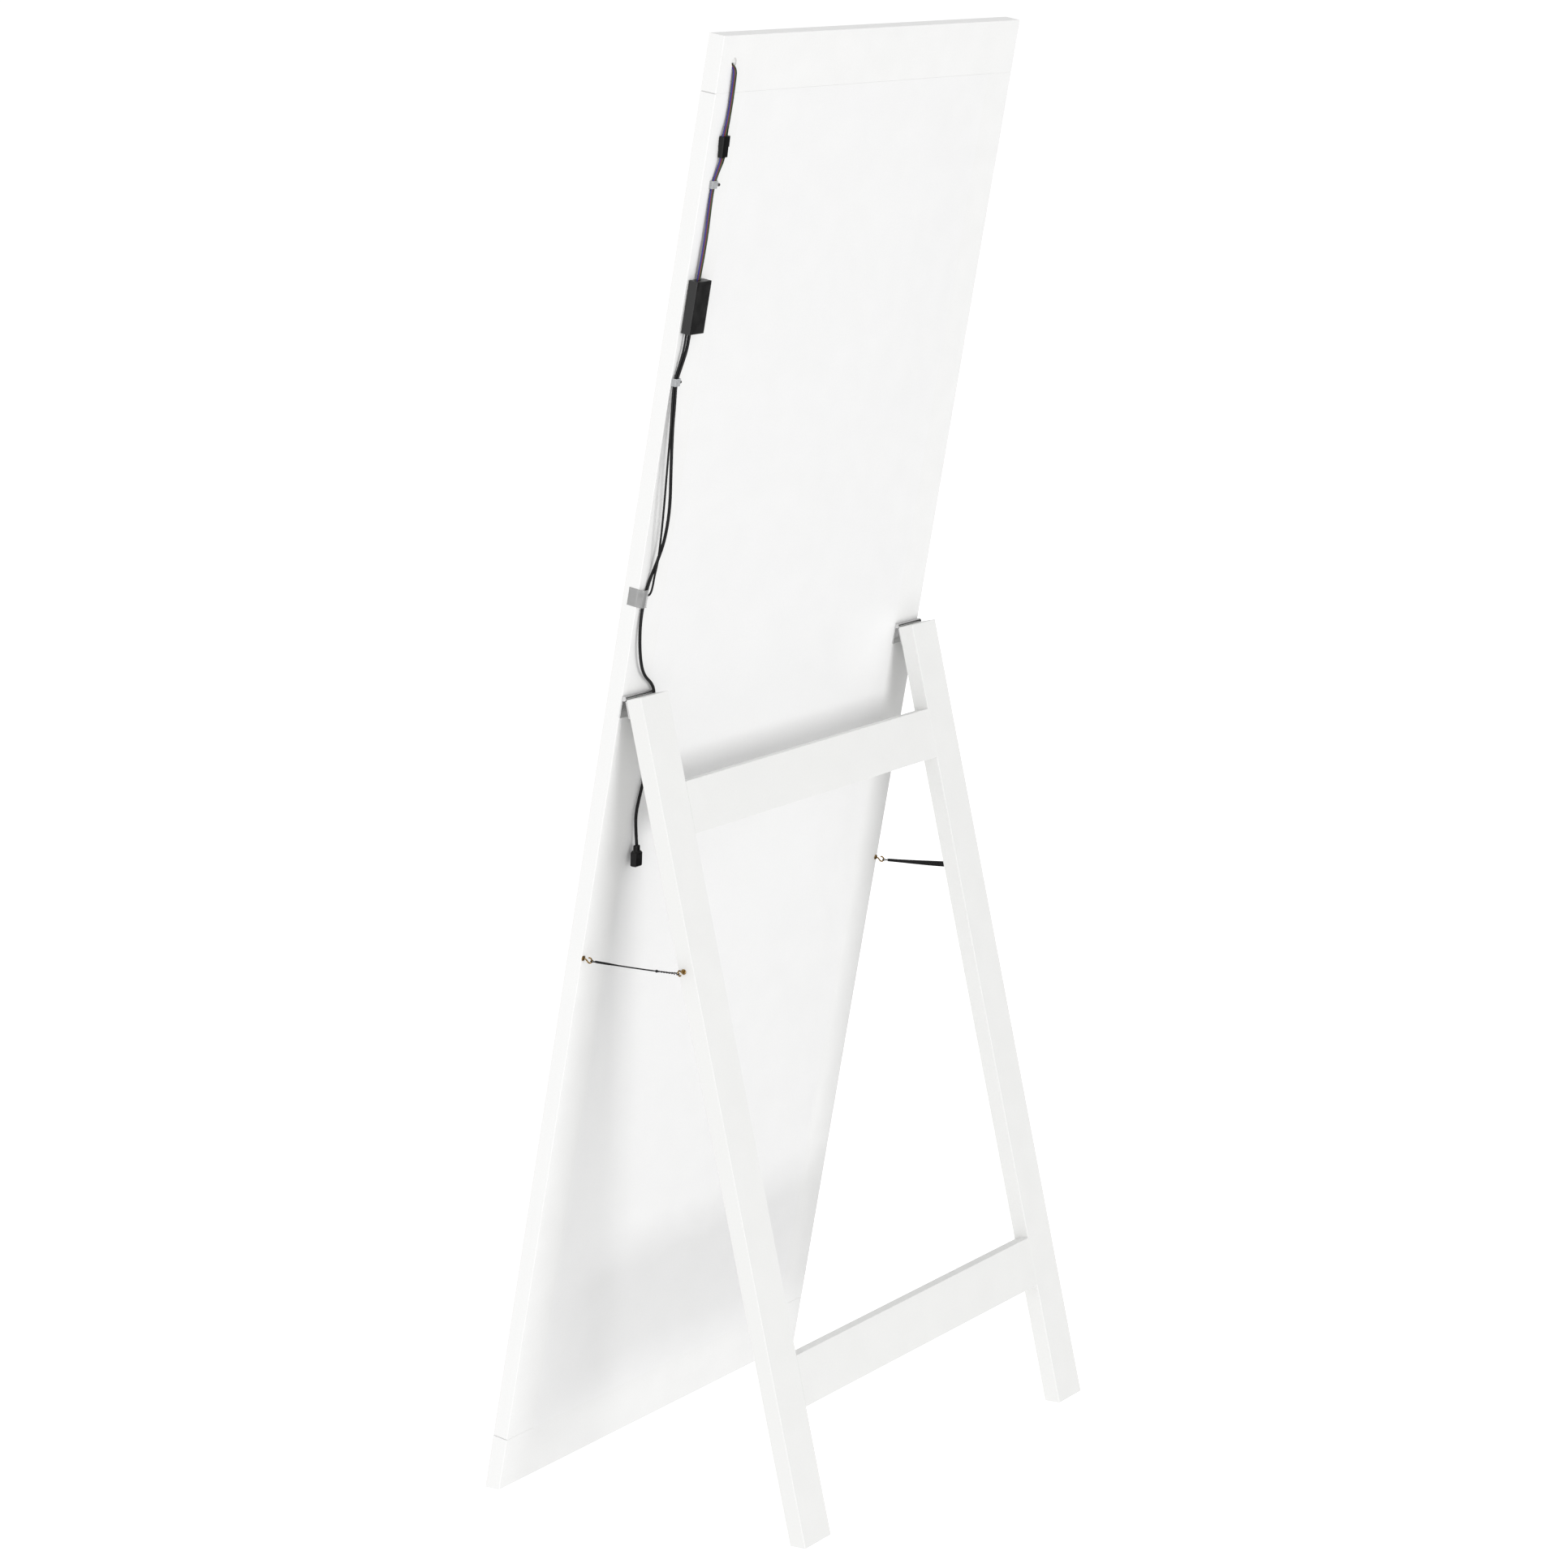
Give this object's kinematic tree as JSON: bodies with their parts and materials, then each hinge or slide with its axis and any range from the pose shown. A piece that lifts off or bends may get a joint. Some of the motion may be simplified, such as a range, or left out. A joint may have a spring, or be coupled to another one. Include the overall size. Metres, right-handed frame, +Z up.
{
  "type": "cheval floor mirror",
  "caption": "Full-length floor mirror in a flat white frame, with a hinged rear stand held open by corded hooks and a USB-powered light strip round the glass.",
  "frame": {"origin": "on the floor, in the middle of the width and of the depth from the mirror's front bottom edge to the back of the feet", "axes": "+Z up; +X to the right seen from the front; +Y from the mirror towards the stand; the glass faces -Y"},
  "size_m": [0.6222, 0.379, 1.4781],
  "materials": {
    "white_board": "satin white paint over smooth board",
    "frame_board": "satin white paint over smooth board",
    "back_sheet": "satin white foil on thin board",
    "silvered_glass": "polished float glass, silvered behind",
    "bare_wood": "unfinished beech",
    "strip_white": "white flexible circuit tape",
    "diffuser_milk": "milky satin",
    "nickel": "polished nickel plate",
    "antique_brass": "dark antique brass plate",
    "dark_steel": "dark hardened steel",
    "bright_steel": "tinned",
    "black_plastic": "satin moulded",
    "black_nylon": "smooth moulded",
    "black_cable": "smooth satin jacket",
    "wire_blue": "smooth satin insulation",
    "wire_red": "smooth satin insulation",
    "wire_green": "smooth satin insulation",
    "wire_black": "smooth satin insulation",
    "clip_plastic": "translucent natural plastic",
    "clear_tape": "translucent satin film",
    "circuit_green": "green solder mask",
    "foam": "white closed-cell foam",
    "strap_cord": "twisted black cord"
  },
  "bodies": {
    "mirror": {"top_rail": "frame_board", "bottom_rail": "frame_board", "left_stile": "frame_board", "right_stile": "frame_board", "back_panel": "back_sheet", "mirror_glass": "silvered_glass", "light_strips": "strip_white", "light_diffusers": "diffuser_milk", "frame_dowels": "bare_wood", "hole_plug": "white_board", "mirror_hinge_leaves": "nickel", "hinge_pins": "nickel", "mirror_hinge_screws": "nickel", "mirror_hooks": "antique_brass", "cable_clips": "clip_plastic", "clip_nails": "dark_steel", "connector_socket": "black_nylon", "connector_plug": "black_nylon", "connector_contacts": "bright_steel", "controller_case": "black_plastic", "controller_lid": "black_plastic", "controller_board": "circuit_green", "controller_pad": "foam", "usb_lead": "black_cable", "usb_plug": "black_nylon", "plug_shell": "bright_steel", "plug_cap": "black_nylon", "ir_lead": "black_cable", "ir_receiver": "black_plastic", "edge_tape": "clear_tape", "wire_blue": "wire_blue", "wire_red": "wire_red", "wire_green": "wire_green", "wire_black": "wire_black", "left_strap": "strap_cord", "right_strap": "strap_cord"},
    "stand": {"left_leg": "white_board", "right_leg": "white_board", "upper_cross_rail": "white_board", "lower_cross_rail": "white_board", "rail_dowels": "bare_wood", "leg_hinge_leaves": "nickel", "leg_hinge_screws": "nickel", "leg_hooks": "antique_brass"}
  },
  "joints": [
    {"name": "stand_fold", "type": "hinge", "parent": "mirror", "child": "stand", "pos_m": [0, -0.01582, 0.83264], "axis": [-1, 0, 0], "range_deg": [0, 21.5], "deforming": ["left_strap", "right_strap"]}
  ]
}
